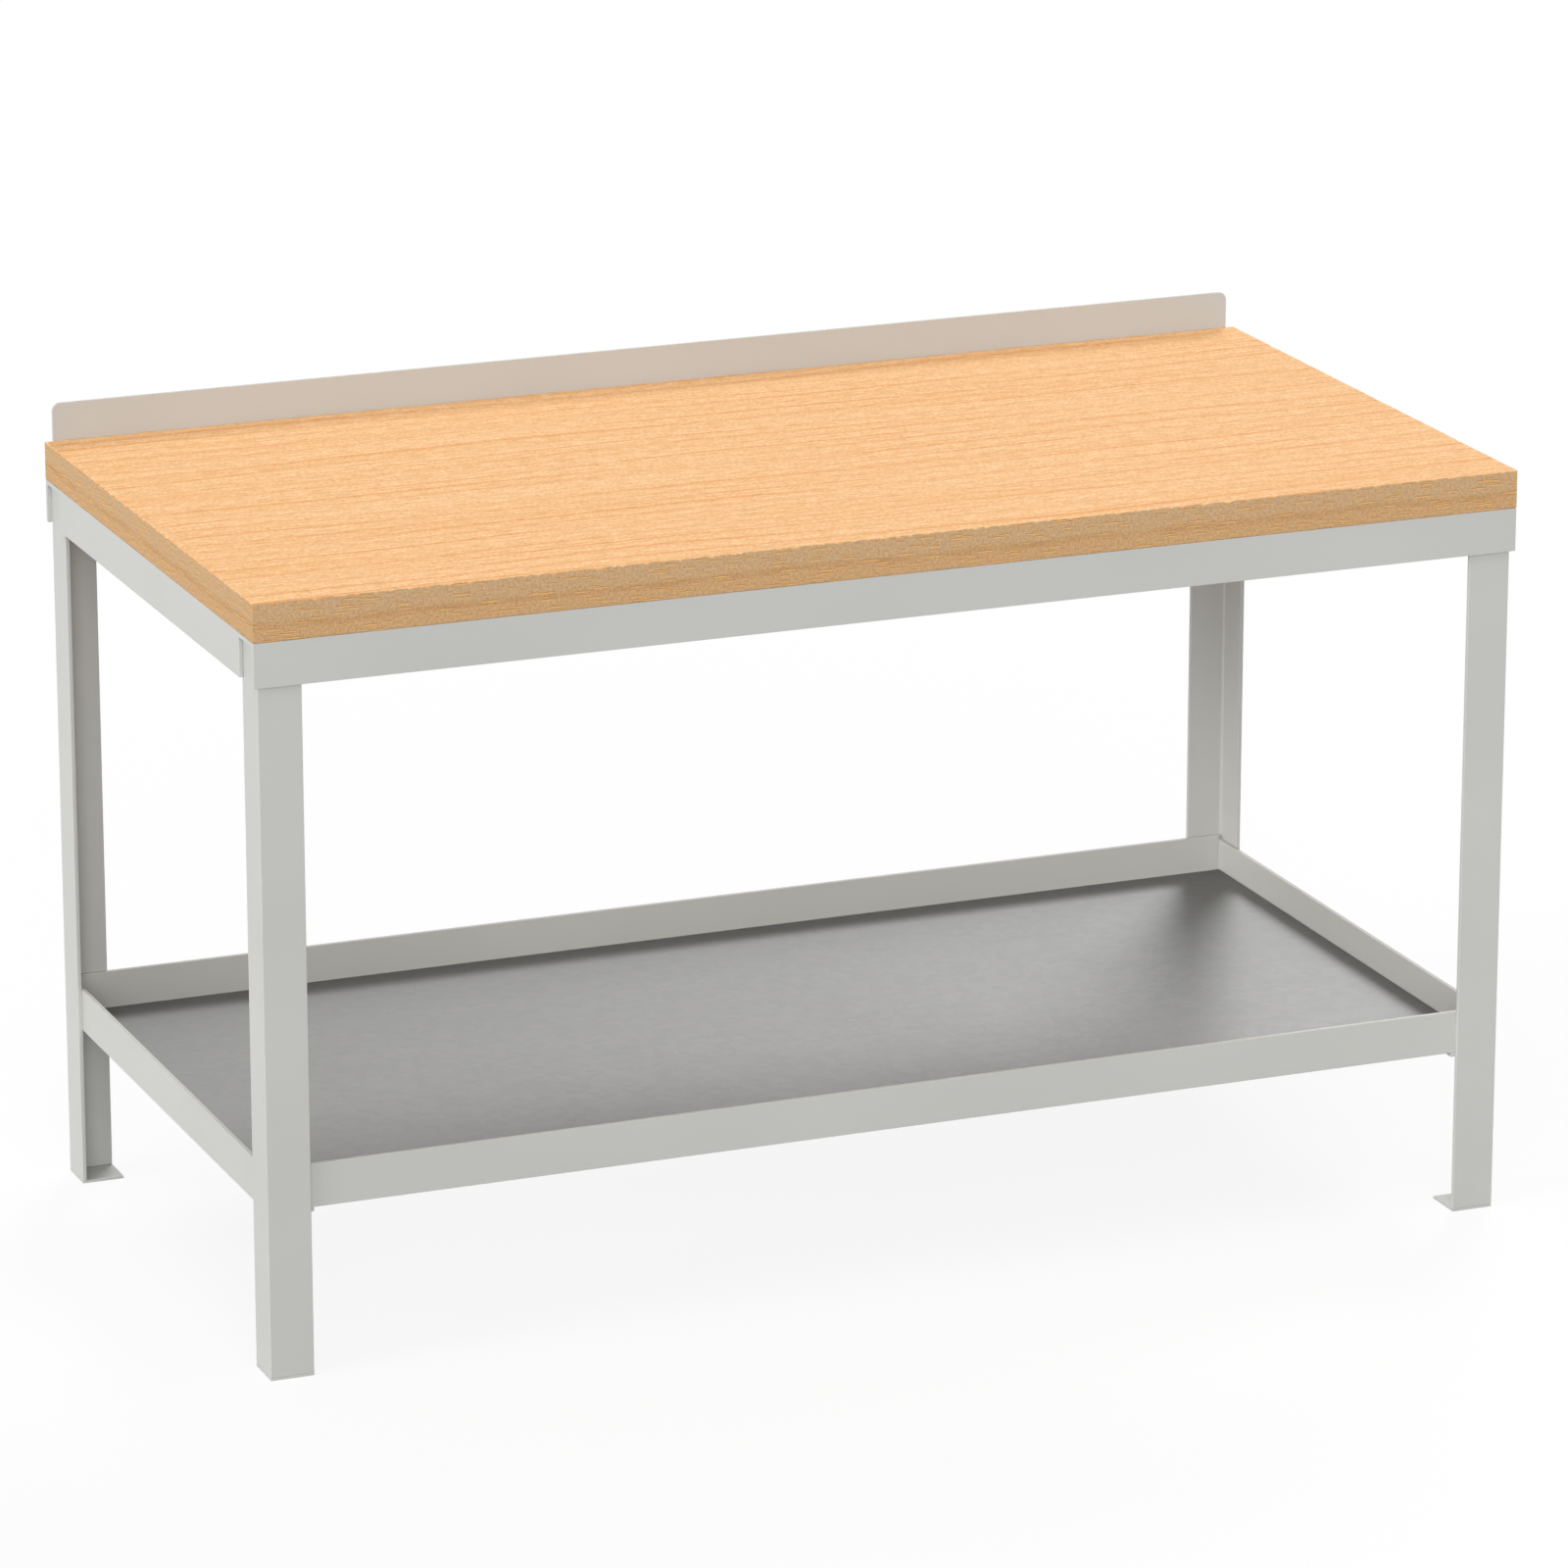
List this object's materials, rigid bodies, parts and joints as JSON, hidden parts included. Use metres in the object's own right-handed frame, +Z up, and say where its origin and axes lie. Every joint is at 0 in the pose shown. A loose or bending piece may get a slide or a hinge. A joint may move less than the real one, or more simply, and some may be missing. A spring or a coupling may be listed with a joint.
{
  "type": "assembly table",
  "caption": "Steel-framed assembly table with a thick wooden top, a rear upstand and a low tray shelf between angle-iron legs.",
  "frame": {"origin": "on the floor, under the middle of the outline", "axes": "+X along the table to the right, +Y from the front to the upstand, +Z up"},
  "size_m": [1.5, 0.756, 0.926],
  "materials": {
    "beech_board": "oiled beech, fine grain along the length",
    "grey_paint": "light grey semi-gloss paint",
    "zinc_sheet": "zinc-coated sheet, satin",
    "zinc_screw": "bright zinc plate"
  },
  "bodies": {
    "root": {"worktop": "beech_board", "rear_upstand": "grey_paint", "top_front_rail": "grey_paint", "top_rear_rail": "grey_paint", "top_left_rail": "grey_paint", "top_right_rail": "grey_paint", "shelf_front_rail": "grey_paint", "shelf_rear_rail": "grey_paint", "shelf_left_rail": "grey_paint", "shelf_right_rail": "grey_paint", "leg_front_left": "grey_paint", "leg_front_right": "grey_paint", "leg_rear_left": "grey_paint", "leg_rear_right": "grey_paint", "foot_plate_front_left": "grey_paint", "foot_plate_front_right": "grey_paint", "foot_plate_rear_left": "grey_paint", "foot_plate_rear_right": "grey_paint", "shelf_bearer_1": "grey_paint", "shelf_bearer_2": "grey_paint", "shelf_panel": "zinc_sheet", "worktop_screw_front_1": "zinc_screw", "worktop_screw_front_2": "zinc_screw", "worktop_screw_front_3": "zinc_screw", "worktop_screw_front_4": "zinc_screw", "worktop_screw_rear_1": "zinc_screw", "worktop_screw_rear_2": "zinc_screw", "worktop_screw_rear_3": "zinc_screw", "worktop_screw_rear_4": "zinc_screw", "worktop_screw_left_1": "zinc_screw", "worktop_screw_right_1": "zinc_screw", "upstand_screw_1": "zinc_screw", "upstand_screw_2": "zinc_screw", "upstand_screw_3": "zinc_screw", "upstand_screw_4": "zinc_screw", "upstand_screw_5": "zinc_screw"}
  },
  "joints": []
}
